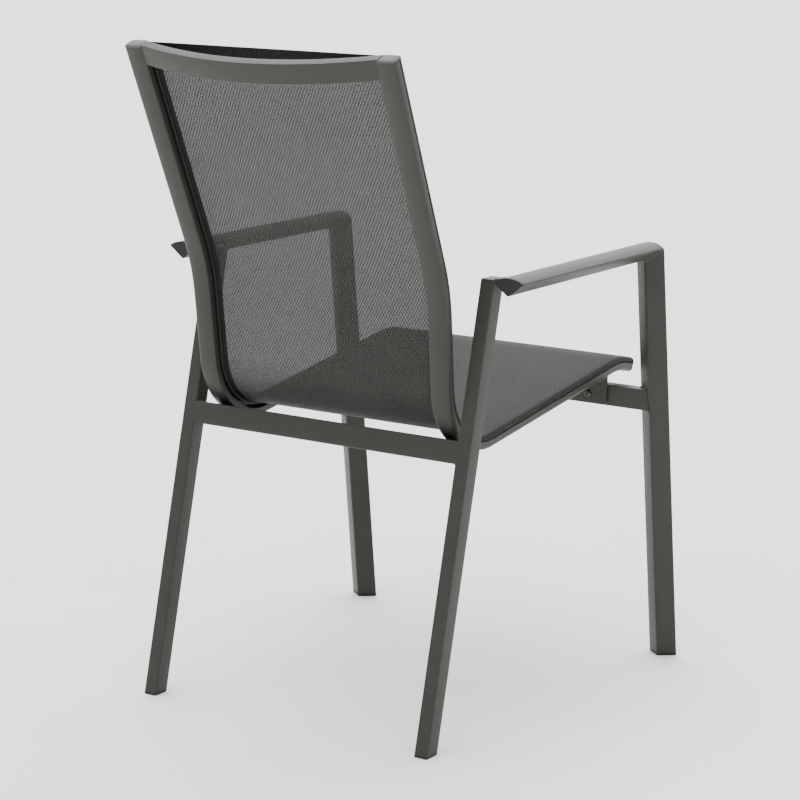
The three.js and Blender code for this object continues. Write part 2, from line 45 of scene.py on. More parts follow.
# Sizes of the CAD model
ARM_WIDTH = 45.0
ARCH_RISE = 6.5
KEEL_DEPTH = 17.3
TIP_RADIUS = 1.5
KEEL_RADIUS = 3.0
TIP_HEIGHT = 594.5
ARM_INNER_X = 237.8
ARM_REAR_END = 118.04
CAP_FLANGE = 3.0
FRONT_FOOT_Y = -313.58
FRONT_LEAN = 0.1103
REAR_LEG_WIDTH = 20.0
REAR_LEG_DEPTH = 25.0
REAR_LEG_OUTER_X = 231.0
REAR_FOOT_Y = 251.3
REAR_LEAN = -0.2477
LEG_RADIUS = 2.0
RAIL_HEIGHT = 29.5
RAIL_DEPTH = 20.0
RAIL_TOP = 392.5
FRONT_RAIL_BACK_Y = -256.98
SLING_OUTER_X = 198.1
SLING_TOP_OUTER_X = 208.6
SLING_WIDTH = 27.5
SLING_DEPTH = 19.5
HEEL = (151.28, 347.8)
UPPER_ANGLE = math.radians(22.3)
LOWER_ANGLE = math.radians(5.7)
SEAT_ANGLE = math.radians(90 + 8.15)
NOSE_TURN = math.radians(28)
UPPER_LENGTH = 322.5
LOWER_LENGTH = 234.7
SEAT_LENGTH = 417.5
LUMBAR_RADIUS = 250.0
HEEL_RADIUS = 100.0
NOSE_RADIUS = 110.0
RAIL_ARCH = 2.0

# The side rail's section: the groove for the sheet's edge in its outer side, and the open channel in
# its inner side. Middles are measured from the rail's back, lips and bottoms from the side that the
# opening is in, and halves are half widths. The channel's place and width and the edges' radii are
# the scene's own, and the rest is the CAD model's.
GROOVE_MIDDLE = 12.6
GROOVE_MOUTH_HALF = 0.8
GROOVE_POCKET_HALF = 2.1
GROOVE_LIP = 3.2
GROOVE_BOTTOM = 7.4
SHEET_RELIEF = 1.4
RAIL_BACK_SHARE = 0.66
RAIL_INNER_RADIUS = 2.3
RAIL_OUTER_RADIUS = 4.8
RAIL_FRONT_INNER_RADIUS = 2.2
RAIL_FRONT_OUTER_RADIUS = 4.5
CHANNEL_MIDDLE = 13.6
CHANNEL_MOUTH_HALF = 2.8
CHANNEL_HALF = 4.0
CHANNEL_LIP = 2.0
CHANNEL_BOTTOM = 13.0
CHANNEL_LIP_RADIUS = 0.8

BAR_HEIGHT = 27.0
BAR_THICKNESS = 14.0
BAR_BOW = 28.6
BAR_RADIUS = 0.7
BAR_TUCK = 3.5
FOOT_FLANGE = 3.0
LEG_CAP = 2.5
NOSE_CAP = 4.0
SEAM = 0.15

# The sheet and its hems
SHEET_THICK = 0.35
SHEET_BACK = SLING_DEPTH + 0.5
SHEET_FRONT = SLING_DEPTH + 1
SHEET_EDGE_RADIUS = 4.95
SHEET_TUCK = 2.6
TOP_HEM = 30
FRONT_HEM = 24
SIDE_HEM = 7
SIDE_HEM_TUCK = 1.5
HEM_BACK = SLING_DEPTH - 0.35
HEM_FRONT = SLING_DEPTH + 0.4

# The weave: its yarns' spacing and the places along the sheet where the back ends and the seat
# starts, in metres, then shares and strengths
PITCH_ACROSS = 0.0022
PITCH_ALONG = 0.0037
BACK_ENDS = 0.45
SEAT_STARTS = 0.52
SHARE_MEAN = 0.2
SHARE_SWING = 0.105
HOLE_SHARE = 0.35
HOLE_EDGE = 0.1
SEAT_RELIEF = 0.22
# How much lighter the back's yarns are painted: painted light for the light that scatters through the
# cloth
BACK_PAINTED_LIGHT = 1.35
WEAVE_BUMP = 0.55

# Caps and welds
CAP_EDGE_RADIUS = 0.9
PLUG_EDGE_RADIUS = 0.8
CAP_SEAM_RADIUS = 0.2
ARM_CORNER_RADIUS = 5.0
WELD_RADIUS = 1.5
WELD_RIPPLE = 0.14
WELD_END_SHARE = 0.35
CAP_CORNER_RADIUS = 6
CAP_STAND = 1.15
TOP_PLATE_DROP = 1.9
NOSE_CAP_DROP = 2.2
RAIL_STEPS = 16
SCREW_SIDES = 24
BRACKET_EDGE = 0.5

# The dressed joint of arm and rear leg: how far it reaches into each, and its depth and rise there
JOINT_LEG_TUCK = 0.4
JOINT_ARM_TUCK = 2.2
JOINT_LEG_DEPTH = 5.2
JOINT_ARM_DEPTH = 1.4
JOINT_LEG_RISE = 0.8
JOINT_ARM_RISE = 1.8
JOINT_RIPPLE = 0.25

# Bolts
HEAD_RADIUS = 5.5
HEAD_HEIGHT = 3.0
SHANK_RADIUS = 2.85
SOCKET_RADIUS = 2.1
SOCKET_DEPTH = 1.7
DOME_RADIUS = 2.9
DOME_HEIGHT = 2.4
REAR_BOLT_ANGLE = math.radians(60)

SLING_INNER_X = SLING_OUTER_X - SLING_WIDTH
REAR_LEG_TOP = TIP_HEIGHT
FRONT_ANGLE = math.atan(FRONT_LEAN)
MITRE_SLOPE = math.tan(math.pi / 4 - FRONT_ANGLE / 2)
MITRE_Y = FRONT_FOOT_Y + FRONT_LEAN * TIP_HEIGHT
REAR_ANGLE = math.atan(-REAR_LEAN)

# The photograph's view: places in metres, turns in degrees, lens and sensor in millimetres
CAMERA_PLACE = (-1.9814, 2.8845, 1.1484)
CAMERA_YAW = 34.25
CAMERA_PITCH = 12.19
CAMERA_ROLL = 0.2
CAMERA_LENS = 118.77
CAMERA_SENSOR = 36
CAMERA_REACH = 100

# The room's soft lights: the way to each, its strength and its tightness
ROOM_LIGHTS = [
    ((0, 0.25, 0.97), 4.4, 3),
    ((0, -1, 0.1), 3.75, 3),
    ((1, 0, 0.2), 0.3, 3),
    ((0.5, -0.43, 0.74), 4.5, 9),
]
# The floor's half size in metres, and the light that the camera sees past its edge
FLOOR_REACH = 60
BACKDROP_LIGHT = 2.1


# Camera, floor and lights

def make_camera():
    yaw, pitch, roll = (math.radians(a) for a in (CAMERA_YAW, CAMERA_PITCH, CAMERA_ROLL))
    level = math.cos(pitch)
    ahead = Vector((math.sin(yaw) * level, -math.cos(yaw) * level, -math.sin(pitch)))
    right = ahead.cross(Vector((0, 0, 1))).normalized()
    up = right.cross(ahead)
    turned = right * math.cos(roll) + up * math.sin(roll)
    raised = up * math.cos(roll) - right * math.sin(roll)
    data = bpy.data.cameras.new("camera")
    data.sensor_width = CAMERA_SENSOR
    data.lens = CAMERA_LENS
    data.clip_end = CAMERA_REACH
    camera = bpy.data.objects.new("camera", data)
    matrix = Matrix((turned, raised, -ahead)).transposed().to_4x4()
    matrix.translation = Vector(CAMERA_PLACE)
    camera.matrix_world = matrix
    bpy.context.scene.collection.objects.link(camera)
    bpy.context.scene.camera = camera


def make_studio():
    """A white room with its light in front, above and beside, and little behind the chair's back."""
    world = bpy.data.worlds.new("studio")
    bpy.context.scene.world = world
    world.use_nodes = True
    tree = world.node_tree
    for node in list(tree.nodes):
        tree.nodes.remove(node)
    place = tree.nodes.new("ShaderNodeTexCoord").outputs["Generated"]
    total = 0.0
    for way, strength, tightness in ROOM_LIGHTS:
        axis = tuple(Vector(way).normalized())
        facing = add(tree, "ShaderNodeVectorMath", {0: place, 1: axis}, operation="DOT_PRODUCT")
        lit = math_node(tree, "MAXIMUM", facing.outputs["Value"])
        glow = math_node(tree, "POWER", lit, tightness)
        total = math_node(tree, "MULTIPLY_ADD", glow, strength, total)
    light = add(tree, "ShaderNodeBackground", {"Color": (1, 1, 1, 1), "Strength": total})
    white = {"Color": (1, 1, 1, 1), "Strength": BACKDROP_LIGHT}
    backdrop = add(tree, "ShaderNodeBackground", white)
    seen = tree.nodes.new("ShaderNodeLightPath").outputs["Is Camera Ray"]
    mix = add(tree, "ShaderNodeMixShader", {0: seen, 1: light.outputs[0], 2: backdrop.outputs[0]})
    out = tree.nodes.new("ShaderNodeOutputWorld")
    tree.links.new(mix.outputs[0], out.inputs["Surface"])
    floor_mesh = bpy.data.meshes.new("floor")
    reach = FLOOR_REACH
    corners = [(-reach, -reach, 0), (reach, -reach, 0), (reach, reach, 0), (-reach, reach, 0)]
    floor_mesh.from_pydata(corners, [], [(0, 1, 2, 3)])
    floor = bpy.data.objects.new("floor", floor_mesh)
    bpy.context.scene.collection.objects.link(floor)
    floor.data.materials.append(floor_material())


# Materials

def new_material(name):
    material = bpy.data.materials.new(name)
    material.use_nodes = True
    tree = material.node_tree
    return material, tree, tree.nodes["Principled BSDF"]


def add(tree, kind, inputs=(), **settings):
    node = tree.nodes.new(kind)
    for key, value in settings.items():
        setattr(node, key, value)
    for key, value in dict(inputs).items():
        if isinstance(value, bpy.types.NodeSocket):
            tree.links.new(value, node.inputs[key])
        else:
            node.inputs[key].default_value = value
    return node


def linear(colour):
    """A colour written as sRGB values from 0 to 255, as Blender's linear one."""
    parts = [c / 255 for c in colour]
    return tuple(c / 12.92 if c <= 0.04045 else ((c + 0.055) / 1.055) ** 2.4 for c in parts) + (1,)


def noise(tree, place, scale, detail=3.0):
    return add(tree, "ShaderNodeTexNoise", {"Vector": place, "Scale": scale, "Detail": detail})


def colour_ramp(tree, value, low, high, start, end):
    ramp = add(tree, "ShaderNodeValToRGB", {"Fac": value})
    first, last = ramp.color_ramp.elements
    first.position, last.position = start, end
    first.color, last.color = linear(low), linear(high)
    return ramp.outputs["Color"]


def mottle(tree, shader, place, low, high, scale):
    """Base colour that wanders between two close colours."""
    grain = noise(tree, place, scale)
    colour = colour_ramp(tree, grain.outputs["Fac"], low, high, start=0.35, end=0.65)
    tree.links.new(colour, shader.inputs["Base Color"])


def roughen(tree, shader, place, scale, low, high):
    grain = noise(tree, place, scale)
    ends = {"From Min": 0.3, "From Max": 0.7, "To Min": low, "To Max": high}
    spread = add(tree, "ShaderNodeMapRange", {"Value": grain.outputs["Fac"], **ends})
    tree.links.new(spread.outputs["Result"], shader.inputs["Roughness"])


def bump(tree, shader, height, strength, distance):
    node = add(tree, "ShaderNodeBump", {"Height": height, "Strength": strength, "Distance": distance})
    tree.links.new(node.outputs["Normal"], shader.inputs["Normal"])


def paint_material(name, low, high, rough):
    """Powder coat: a faint orange peel over a satin grey."""
    material, tree, shader = new_material(name)
    place = add(tree, "ShaderNodeTexCoord").outputs["Object"]
    mottle(tree, shader, place, low, high, scale=18)
    roughen(tree, shader, place, scale=160, low=rough - 0.04, high=rough + 0.04)
    peel = noise(tree, place, scale=1500, detail=2)
    bump(tree, shader, peel.outputs["Fac"], strength=0.25, distance=0.00012)
    shader.inputs["Specular IOR Level"].default_value = 0.22
    return material


def plastic_material(name, low, high, rough):
    material, tree, shader = new_material(name)
    place = add(tree, "ShaderNodeTexCoord").outputs["Object"]
    mottle(tree, shader, place, low, high, scale=120)
    roughen(tree, shader, place, scale=300, low=rough - 0.06, high=rough + 0.06)
    pits = noise(tree, place, scale=2200, detail=4)
    bump(tree, shader, pits.outputs["Fac"], strength=0.3, distance=0.0001)
    shader.inputs["Specular IOR Level"].default_value = 0.2
    return material


def steel_material(name):
    material, tree, shader = new_material(name)
    place = add(tree, "ShaderNodeTexCoord").outputs["Object"]
    mottle(tree, shader, place, (62, 61, 59), (84, 83, 80), scale=260)
    roughen(tree, shader, place, scale=500, low=0.3, high=0.5)
    marks = noise(tree, place, scale=1800, detail=3)
    bump(tree, shader, marks.outputs["Fac"], strength=0.2, distance=0.0001)
    shader.inputs["Metallic"].default_value = 0.9
    return material


def floor_material():
    material, tree, shader = new_material("floor")
    place = add(tree, "ShaderNodeTexCoord").outputs["Object"]
    mottle(tree, shader, place, (240, 240, 239), (243, 243, 242), scale=3)
    shader.inputs["Roughness"].default_value = 0.9
    return material


def math_node(tree, operation, first, second=0.0, third=0.0):
    return add(tree, "ShaderNodeMath", {0: first, 1: second, 2: third}, operation=operation).outputs[0]


def wave(tree, value, period):
    """Cosine of a length, with that period, both in metres."""
    phase = math_node(tree, "MULTIPLY_ADD", value, 2 * math.pi / period)
    return math_node(tree, "COSINE", phase)


def weave_share(tree, across, along, lattice, seat):
    """Over the back each face of the sheet lets a share of the light through. Over the seat it goes
    through small openings that line up only where one looks straight at them."""
    back_share = math_node(tree, "MULTIPLY_ADD", lattice, SHARE_SWING, SHARE_MEAN)
    gap_x = math_node(tree, "MULTIPLY_ADD", wave(tree, across, PITCH_ACROSS), -1.0, HOLE_EDGE)
    gap_y = math_node(tree, "MULTIPLY_ADD", wave(tree, along, PITCH_ALONG / 2), -1.0, HOLE_EDGE)
    gap = math_node(tree, "MINIMUM", gap_x, gap_y)
    seat_share = math_node(tree, "MULTIPLY", math_node(tree, "GREATER_THAN", gap, 0.0), HOLE_SHARE)
    return add(tree, "ShaderNodeMix", {0: seat, 2: back_share, 3: seat_share}).outputs[0]


def mesh_material(name, light, dark, see_through):
    """Woven vinyl mesh: lighter upright floats and darker crossing yarns. Its relief and contrast fade
    over the seat, and over the back its yarns are painted lighter: painted light, standing in for the
    light that scatters through them there."""
    material, tree, shader = new_material(name)
    flat = add(tree, "ShaderNodeUVMap", uv_map="cloth").outputs["UV"]
    parts = add(tree, "ShaderNodeSeparateXYZ", {0: flat})
    across, along = parts.outputs["X"], parts.outputs["Y"]
    columns, rows = wave(tree, across, 2 * PITCH_ACROSS), wave(tree, along, 2 * PITCH_ALONG)
    lattice = math_node(tree, "MULTIPLY", columns, rows)
    grain = noise(tree, flat, scale=900, detail=2).outputs["Fac"]
    wander = noise(tree, flat, scale=14, detail=2).outputs["Fac"]
    shade = math_node(tree, "ADD", lattice, math_node(tree, "MULTIPLY_ADD", grain, 0.3, -0.15))
    shade = math_node(tree, "ADD", shade, math_node(tree, "MULTIPLY_ADD", wander, 0.4, -0.2))
    blend = {"Value": along, "From Min": BACK_ENDS, "From Max": SEAT_STARTS}
    seat = add(tree, "ShaderNodeMapRange", blend).outputs["Result"]
    relief = math_node(tree, "MULTIPLY_ADD", seat, SEAT_RELIEF - 1.0, 1.0)
    contrast = math_node(tree, "MULTIPLY", relief, 0.5)
    value = math_node(tree, "MULTIPLY_ADD", shade, contrast, 0.5)
    yarns = colour_ramp(tree, value, dark, light, start=0.3, end=0.7)
    # Painted light: the yarns over the back are painted lighter, for light that scatters through them
    glow = math_node(tree, "MULTIPLY_ADD", seat, 1.0 - BACK_PAINTED_LIGHT, BACK_PAINTED_LIGHT)
    lit = add(tree, "ShaderNodeVectorMath", {0: yarns, "Scale": glow}, operation="SCALE")
    tree.links.new(lit.outputs["Vector"], shader.inputs["Base Color"])
    rough = math_node(tree, "MULTIPLY_ADD", grain, 0.3, 0.45)
    tree.links.new(rough, shader.inputs["Roughness"])
    shader.inputs["Specular IOR Level"].default_value = 0.05
    if see_through:
        share = weave_share(tree, across, along, lattice, seat)
        tree.links.new(math_node(tree, "SUBTRACT", 1.0, share), shader.inputs["Alpha"])
    yarn = math_node(tree, "MULTIPLY", wave(tree, across, PITCH_ACROSS / 2), 0.35)
    height = math_node(tree, "MULTIPLY", math_node(tree, "ADD", lattice, yarn), relief)
    bump(tree, shader, height, strength=WEAVE_BUMP, distance=0.0004)
    return material


# Sections: lists of corners (x, y, radius) that run anticlockwise

def rounded(corners, steps=6):
    """The section's outline as points, with an arc in place of each corner that has a radius."""
    points = []
    count = len(corners)
    for i, (x, y, radius) in enumerate(corners):
        corner = Vector((x, y))
        if radius <= 0:
            points.append(corner)
            continue
        before = (Vector(corners[i - 1][:2]) - corner).normalized()
        after = (Vector(corners[(i + 1) % count][:2]) - corner).normalized()
        half = math.acos(max(-1, min(1, before.dot(after)))) / 2
        middle = corner + (before + after).normalized() * (radius / math.sin(half))
        start = corner + before * (radius / math.tan(half)) - middle
        sweep = math.pi - 2 * half
        if before.x * after.y - before.y * after.x > 0:
            sweep = -sweep
        for k in range(steps + 1):
            angle = sweep * k / steps
            turn_x = start.x * math.cos(angle) - start.y * math.sin(angle)
            turn_y = start.x * math.sin(angle) + start.y * math.cos(angle)
            points.append(middle + Vector((turn_x, turn_y)))
    return points


def inset(corners, distance):
    """The section with every side moved inward by the distance, its roundings narrowed alike."""
    moved = []
    count = len(corners)
    for i, (x, y, radius) in enumerate(corners):
        corner = Vector((x, y))
        first = (corner - Vector(corners[i - 1][:2])).normalized()
        second = (Vector(corners[(i + 1) % count][:2]) - corner).normalized()
        normal = Vector((-first.y - second.y, first.x + second.x)).normalized()
        spread = Vector((-first.y, first.x)).dot(normal)
        place = corner + normal * (distance / spread)
        moved.append((place.x, place.y, max(radius - distance, 0.01) if radius else 0))
    return moved


def rectangle(x0, y0, x1, y1, radius):
    return [(x0, y0, radius), (x1, y0, radius), (x1, y1, radius), (x0, y1, radius)]


def arm_section():
    half = ARM_WIDTH / 2
    arch_radius = (half * half + ARCH_RISE * ARCH_RISE) / (2 * ARCH_RISE)
    arch_angle = math.asin(half / arch_radius)
    steps = 20
    arch = []
    for k in range(1, steps):
        angle = arch_angle * (1 - 2 * k / steps)
        drop = arch_radius * (1 - math.cos(angle))
        arch.append((half + arch_radius * math.sin(angle), ARCH_RISE - drop, 0))
    return [(0, 0, TIP_RADIUS), (half, -KEEL_DEPTH, KEEL_RADIUS), (ARM_WIDTH, 0, TIP_RADIUS), *arch]


def rail_back():
    """The bulging back of the sling's side rail, from its inner side to its outer side."""
    steps = 10
    bulge = []
    for k in range(steps + 1):
        share = RAIL_BACK_SHARE * (2 * k / steps - 1)
        bulge.append((SLING_WIDTH * (1 + share) / 2, RAIL_ARCH * share * share, 0))
    return [(0, RAIL_ARCH, RAIL_INNER_RADIUS), *bulge, (SLING_WIDTH, RAIL_ARCH, RAIL_OUTER_RADIUS)]


def rail_section():
    """The sling's side rail, with rounded lips round its groove and its channel."""
    outer, front = SLING_WIDTH, SLING_DEPTH
    lip, bottom, wrapped = outer - GROOVE_LIP, outer - GROOVE_BOTTOM, outer - SHEET_RELIEF
    slot_0, slot_1 = GROOVE_MIDDLE - GROOVE_MOUTH_HALF, GROOVE_MIDDLE + GROOVE_MOUTH_HALF
    pocket_0, pocket_1 = GROOVE_MIDDLE - GROOVE_POCKET_HALF, GROOVE_MIDDLE + GROOVE_POCKET_HALF
    mouth_0, mouth_1 = CHANNEL_MIDDLE - CHANNEL_MOUTH_HALF, CHANNEL_MIDDLE + CHANNEL_MOUTH_HALF
    channel_0, channel_1 = CHANNEL_MIDDLE - CHANNEL_HALF, CHANNEL_MIDDLE + CHANNEL_HALF
    shape = [
        *rail_back(), (outer, slot_0, 0.4), (lip, slot_0, 0), (lip, pocket_0, 0),
        (bottom, pocket_0, 0), (bottom, pocket_1, 0), (lip, pocket_1, 0), (lip, slot_1, 0),
        (wrapped, slot_1, 0.3), (wrapped, front, RAIL_FRONT_OUTER_RADIUS),
        (0, front, RAIL_FRONT_INNER_RADIUS), (0, mouth_1, CHANNEL_LIP_RADIUS),
        (CHANNEL_LIP, mouth_1, 0), (CHANNEL_LIP, channel_1, 0), (CHANNEL_BOTTOM, channel_1, 0),
        (CHANNEL_BOTTOM, channel_0, 0), (CHANNEL_LIP, channel_0, 0), (CHANNEL_LIP, mouth_0, 0),
        (0, mouth_0, CHANNEL_LIP_RADIUS),
    ]
    return [(SLING_INNER_X + x, y, radius) for x, y, radius in shape]


# The bent line of the sling frame

def heading(angle):
    """The way down the line, in Y and Z."""
    return Vector((-math.sin(angle), -math.cos(angle)))


def toward(angle):
    """The way from the line to the sitter, in Y and Z."""
    return Vector((-math.cos(angle), math.sin(angle)))


def sling_line(top_trim=0.0, nose_trim=0.0):
    """Stations (point, angle) from the top of the back to the end of the nose."""
    lumbar = LUMBAR_RADIUS * math.tan((UPPER_ANGLE - LOWER_ANGLE) / 2)
    heel = HEEL_RADIUS * math.tan((SEAT_ANGLE - LOWER_ANGLE) / 2)
    point = Vector(HEEL) - heading(LOWER_ANGLE) * LOWER_LENGTH - heading(UPPER_ANGLE) * UPPER_LENGTH
    stations = []

    def straight(length, angle, steps):
        nonlocal point
        for _ in range(steps):
            point = point + heading(angle) * (length / steps)
            stations.append((point.copy(), angle))

    def bend(start, end, radius, steps):
        nonlocal point
        side = 1 if end > start else -1
        middle = point + toward(start) * (side * radius)
        for k in range(1, steps + 1):
            angle = start + (end - start) * k / steps
            point = middle - toward(angle) * (side * radius)
            stations.append((point.copy(), angle))

    straight(top_trim, UPPER_ANGLE, 1)
    straight(UPPER_LENGTH - lumbar - top_trim, UPPER_ANGLE, 10)
    bend(UPPER_ANGLE, LOWER_ANGLE, LUMBAR_RADIUS, 10)
    straight(LOWER_LENGTH - lumbar - heel, LOWER_ANGLE, 6)
    bend(LOWER_ANGLE, SEAT_ANGLE, HEEL_RADIUS, 36)
    straight(SEAT_LENGTH - heel, SEAT_ANGLE, 14)
    bend(SEAT_ANGLE, SEAT_ANGLE - NOSE_TURN + nose_trim / NOSE_RADIUS, NOSE_RADIUS, 16)
    return stations


TOP_STATION = sling_line()[0]
NOSE_STATION = sling_line()[-1]


def nose_at(back):
    """The station on the nose's arc that lies a length behind its end."""
    point, end = NOSE_STATION
    middle = point - toward(end) * NOSE_RADIUS
    angle = end + back / NOSE_RADIUS
    return middle + toward(angle) * NOSE_RADIUS, angle


def on_line(station, across, depth, along=0.0):
    """A place given from a station: across from the middle, toward the sitter and down the line. The
    sides flare toward the top."""
    point, angle = station
    flat = point + toward(angle) * depth + heading(angle) * along
    rise = (flat.y - HEEL[1]) / (TOP_STATION[0].y - HEEL[1])
    flare = 1 + (SLING_TOP_OUTER_X / SLING_OUTER_X - 1) * rise
    return Vector((across * flare, flat.x, flat.y))


# Meshes

def make_mesh(name, points, faces, sharp=32):
    mesh = bpy.data.meshes.new(name)
    mesh.from_pydata([p * MM for p in points], [], faces)
    mesh.validate()
    mesh.shade_smooth()
    mesh.set_sharp_from_angle(angle=math.radians(sharp))
    piece = bpy.data.objects.new(name, mesh)
    bpy.context.scene.collection.objects.link(piece)
    return piece


def loft(rings):
    """Points and faces of a closed skin over rings of equal length."""
    count = len(rings[0])
    points = [p for r in rings for p in r]
    faces = []
    for i in range(len(rings) - 1):
        a, b = i * count, (i + 1) * count
        for k in range(count):
            n = (k + 1) % count
            faces.append((a + k, a + n, b + n, b + k))
    last = (len(rings) - 1) * count
    faces.append(tuple(reversed(range(count))))
    faces.append(tuple(last + k for k in range(count)))
    return points, faces


def volume(points, faces):
    """Six times the volume that the faces enclose, negative if they point inward."""
    total = 0.0
    for face in faces:
        a = points[face[0]]
        for i in range(1, len(face) - 1):
            total += a.dot(points[face[i]].cross(points[face[i + 1]]))
    return total


def outward(points, faces):
    if volume(points, faces) < 0:
        faces = [tuple(reversed(f)) for f in faces]
    return points, faces


def finish_piece(piece, material, nodes=()):
    """Give the piece its material, and let it ride the body in place of these CAD nodes."""
    piece.data.materials.append(material)
    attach(piece, "root")
    if nodes:
        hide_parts(*nodes)
    return piece


def add_piece(name, shape, material, nodes=(), sharp=32):
    points, faces = outward(*shape)
    return finish_piece(make_mesh(name, points, faces, sharp), material, nodes)


def add_pair(name, shape, material, nodes=(), sharp=32):
    """The shape is the sitter's left one; the right one is its mirror image."""
    points, faces = shape
    mirrored = [Vector((-p.x, p.y, p.z)) for p in points]
    for side, places in (("left", points), ("right", mirrored)):
        replaced = [f"{node}_{side}" for node in nodes]
        add_piece(f"{name}_{side}", (places, faces), material, replaced, sharp)


def soft_levels(low, high, radius, steps=4):
    """Levels (height, inset) from one end of a block to the other, with both rims rounded."""
    levels = []
    for k in range(steps + 1):
        angle = math.pi / 2 * k / steps
        levels.append((low + radius * (1 - math.sin(angle)), radius * (1 - math.cos(angle))))
    levels.reverse()
    rest = [(low + high - h, i) for h, i in reversed(levels)]
    return levels + rest


def block(section, low, high, place, radius=0.6, low_radius=None):
    """A solid over a convex section between two heights with rounded rims, each point put in place."""
    rings = []
    for height, narrow in soft_levels(low, high, radius):
        if low_radius is not None and height < (low + high) / 2:
            narrow *= low_radius / radius
        rings.append([place(p.x, p.y, height) for p in rounded(inset(section, narrow))])
    return loft(rings)


# A dome from its rim inward: shares of the outline and of the drop below the middle
DOME_SHARES = ((1.0, 1.0), (0.985, 0.8), (0.93, 0.6), (0.8, 0.33),
               (0.6, 0.13), (0.35, 0.04), (0.12, 0.0))


def domed_block(section, thick, place, drop):
    """A cap whose outer face (height 0) bulges: its rim lies lower than its middle by the drop."""
    outline = rounded(section)
    middle = sum(outline, Vector((0, 0))) / len(outline)
    rings = [[place(p.x, p.y, thick) for p in outline]]
    for share, height in DOME_SHARES:
        ring = [middle + (p - middle) * share for p in outline]
        rings.append([place(p.x, p.y, drop * height) for p in ring])
    return loft(rings)


# Pieces

def lay_arm(x, y, back):
    return Vector((ARM_INNER_X + x, ARM_REAR_END - back, TIP_HEIGHT + y))


def stand_front_leg(x, y, z):
    return Vector((ARM_INNER_X + x, FRONT_FOOT_Y + FRONT_LEAN * z - y / math.cos(FRONT_ANGLE), z))


def lean_back(x, y, z):
    front = REAR_FOOT_Y - REAR_LEG_DEPTH + REAR_LEAN * z
    return Vector((REAR_LEG_OUTER_X - REAR_LEG_WIDTH + x, front + y, z))


def make_arms(paint, cap_plastic, foot_plastic):
    """Arm and front leg are two lengths of one extrusion, mitred, welded and dressed round."""
    section = rounded(arm_section())
    corner_radius, steps, leg_steps = ARM_CORNER_RADIUS, 8, 12
    turn = math.pi / 2 + FRONT_ANGLE
    reach = corner_radius * math.tan(turn / 2)
    leg_down = Vector((0, -math.sin(FRONT_ANGLE), -math.cos(FRONT_ANGLE)))
    tube_back = CAP_FLANGE + SEAM
    foot = FOOT_FLANGE + SEAM
    rings = [[] for _ in range(2 + steps + 1 + leg_steps)]
    for p in section:
        corner = Vector((ARM_INNER_X + p.x, MITRE_Y - p.y * MITRE_SLOPE, TIP_HEIGHT + p.y))
        start = corner + Vector((0, reach, 0))
        line = [lay_arm(p.x, p.y, tube_back)]
        line.append((line[0] + start) / 2)
        inward = (Vector((0, 1, 0)) + leg_down).normalized()
        middle = corner + inward * (corner_radius / math.cos(turn / 2))
        spoke = start - middle
        for k in range(steps + 1):
            line.append(middle + Matrix.Rotation(turn * k / steps, 3, "X") @ spoke)
        end = stand_front_leg(p.x, p.y, foot)
        for k in range(1, leg_steps + 1):
            line.append(line[2 + steps].lerp(end, k / leg_steps))
        for ring, place in zip(rings, line):
            ring.append(place)
    add_pair("armrest_frame", loft(rings), paint, ["arm", "front_leg"], 40)
    cap = block(arm_section(), 0, CAP_FLANGE, lay_arm, CAP_EDGE_RADIUS, CAP_SEAM_RADIUS)
    add_pair("armrest_cap", cap, cap_plastic, ["arm_end_cap"])
    plug = block(arm_section(), 0, FOOT_FLANGE, stand_front_leg, PLUG_EDGE_RADIUS)
    add_pair("front_foot", plug, foot_plastic, ["front_foot_plug"])


def make_rear_legs(paint, foot_plastic):
    section = rectangle(0, 0, REAR_LEG_WIDTH, REAR_LEG_DEPTH, LEG_RADIUS)
    top = REAR_LEG_TOP - LEG_CAP - SEAM
    outline = rounded(section)
    foot, steps = FOOT_FLANGE + SEAM, 16
    heights = [foot + (top - foot) * k / steps for k in range(steps + 1)]
    leg = loft([[lean_back(p.x, p.y, z) for p in outline] for z in heights])
    add_pair("rear_leg_tube", leg, paint, ["rear_leg"])
    cap_bottom = REAR_LEG_TOP - LEG_CAP
    cap = block(section, cap_bottom, REAR_LEG_TOP, lean_back, CAP_EDGE_RADIUS, CAP_SEAM_RADIUS)
    add_pair("rear_leg_cap", cap, paint, ["rear_leg_top_cap"])
    plug = block(section, 0, FOOT_FLANGE, lean_back, PLUG_EDGE_RADIUS)
    add_pair("rear_foot", plug, foot_plastic, ["rear_foot_plug"])


def make_arm_joints(paint):
    """The dressed strip of weld metal and tube between the rear leg's side and the arm's inner tip."""
    leg_side, arm_side = REAR_LEG_OUTER_X - JOINT_LEG_TUCK, ARM_INNER_X + JOINT_ARM_TUCK
    back = REAR_FOOT_Y + REAR_LEAN * TIP_HEIGHT - LEG_RADIUS
    length = REAR_LEG_DEPTH - 2 * LEG_RADIUS
    rings = []
    steps = 8
    for k in range(steps + 1):
        share = k / steps
        swell = JOINT_RIPPLE * math.sin(share * 9 * math.pi)
        y = back - length * share
        section = [
            (leg_side, TIP_HEIGHT - JOINT_LEG_DEPTH, 0.6),
            (arm_side, TIP_HEIGHT - JOINT_ARM_DEPTH, 0.4),
            (arm_side, TIP_HEIGHT + JOINT_ARM_RISE + swell, 0.8),
            (leg_side, REAR_LEG_TOP + JOINT_LEG_RISE + swell, 0.8),
        ]
        rings.append([Vector((p.x, y, p.y)) for p in rounded(section)])
    add_pair("arm_joint_strip", loft(rings), paint, ["arm_joint"])


def weld_bead(path):
    """A rippled bead along a path of points, thinned at its ends."""
    rings = []
    last = len(path) - 1
    for i, point in enumerate(path):
        ahead = (path[min(i + 1, last)] - path[max(i - 1, 0)]).normalized()
        side = ahead.orthogonal().normalized()
        other = ahead.cross(side)
        size = WELD_RADIUS * (1 + WELD_RIPPLE * math.sin(i * 1.9))
        if i in (0, last):
            size *= WELD_END_SHARE
        ring = []
        for angle in (math.pi * k / 4 for k in range(8)):
            ring.append(point + side * (size * math.cos(angle)) + other * (size * math.sin(angle)))
        rings.append(ring)
    return loft(rings)


